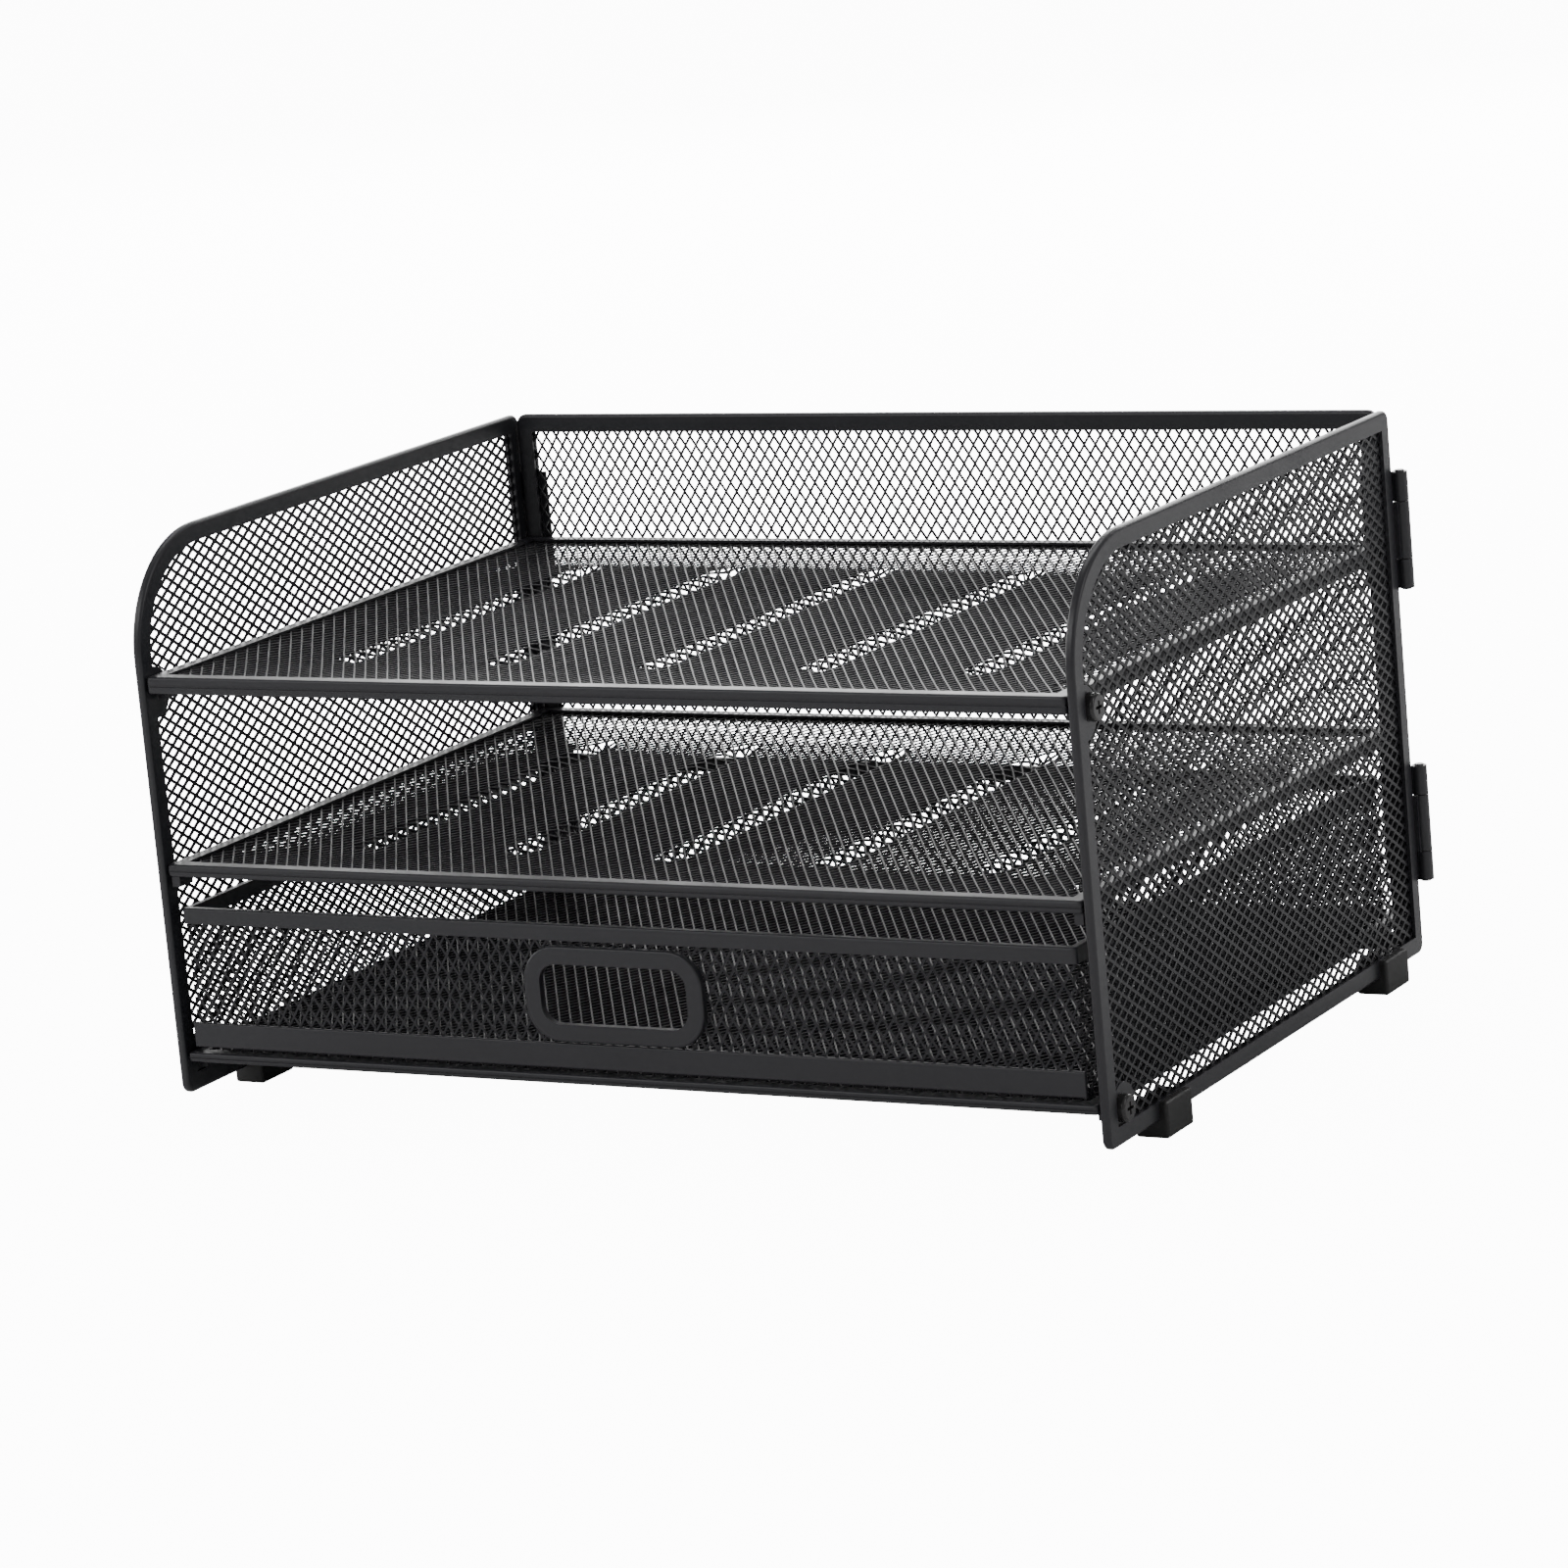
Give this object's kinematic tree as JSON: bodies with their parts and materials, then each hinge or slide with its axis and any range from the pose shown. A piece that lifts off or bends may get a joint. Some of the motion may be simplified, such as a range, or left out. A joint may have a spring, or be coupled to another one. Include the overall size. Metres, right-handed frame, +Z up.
{
  "type": "letter tray",
  "caption": "Desktop letter tray of black expanded steel mesh: open shelves over a pull-out drawer, between hinged mesh side panels and a mesh back.",
  "frame": {"origin": "on the desk surface, below the centre of the whole object's box", "axes": "+X to the object's right as seen from the front, +Y to the back, +Z up; the drawer opens towards -Y"},
  "size_m": [0.3378, 0.2416, 0.1845],
  "materials": {
    "black_coat": "satin black powder coat",
    "black_screw": "black oxide, semi-gloss",
    "foot_plastic": "moulded black plastic",
    "pin_steel": "plain steel pin under paint"
  },
  "bodies": {
    "rack": {"back_frame": "black_coat", "back_mesh": "black_coat", "upper_shelf_rim": "black_coat", "upper_shelf_mesh": "black_coat", "middle_shelf_rim": "black_coat", "middle_shelf_mesh": "black_coat", "middle_shelf_tabs": "black_coat", "base_tray_rim": "black_coat", "base_tray_mesh": "black_coat", "left_hinge_back_leaves": "black_coat", "left_hinge_pins": "pin_steel", "left_upper_nut_block": "black_coat", "left_lower_nut_block": "black_coat", "right_hinge_back_leaves": "black_coat", "right_hinge_pins": "pin_steel", "right_upper_nut_block": "black_coat", "right_lower_nut_block": "black_coat"},
    "drawer": {"drawer_rim": "black_coat", "drawer_lower_band": "black_coat", "drawer_front_mesh": "black_coat", "drawer_back_mesh": "black_coat", "drawer_left_mesh": "black_coat", "drawer_right_mesh": "black_coat", "drawer_floor_mesh": "black_coat", "drawer_handle": "black_coat"},
    "left_side": {"left_side_frame": "black_coat", "left_side_mesh": "black_coat", "left_upper_gusset": "black_coat", "left_lower_gusset": "black_coat", "left_front_screws": "black_screw", "left_hinge_knuckles": "black_coat", "left_front_foot": "foot_plastic", "left_rear_foot": "foot_plastic"},
    "right_side": {"right_side_frame": "black_coat", "right_side_mesh": "black_coat", "right_upper_gusset": "black_coat", "right_lower_gusset": "black_coat", "right_front_screws": "black_screw", "right_hinge_knuckles": "black_coat", "right_front_foot": "foot_plastic", "right_rear_foot": "foot_plastic"}
  },
  "joints": [
    {"name": "drawer_slide", "type": "slide", "parent": "rack", "child": "drawer", "axis": [0, -1, 0], "range_m": [0, 0.18]},
    {"name": "right_side_fold", "type": "hinge", "parent": "rack", "child": "right_side", "pos_m": [0.1664, 0.1183, 0.0925], "axis": [0, 0, 1], "range_deg": [0, 270]},
    {"name": "left_side_fold", "type": "hinge", "parent": "rack", "child": "left_side", "pos_m": [-0.1664, 0.1183, 0.0925], "axis": [0, 0, -1], "range_deg": [0, 262]}
  ]
}
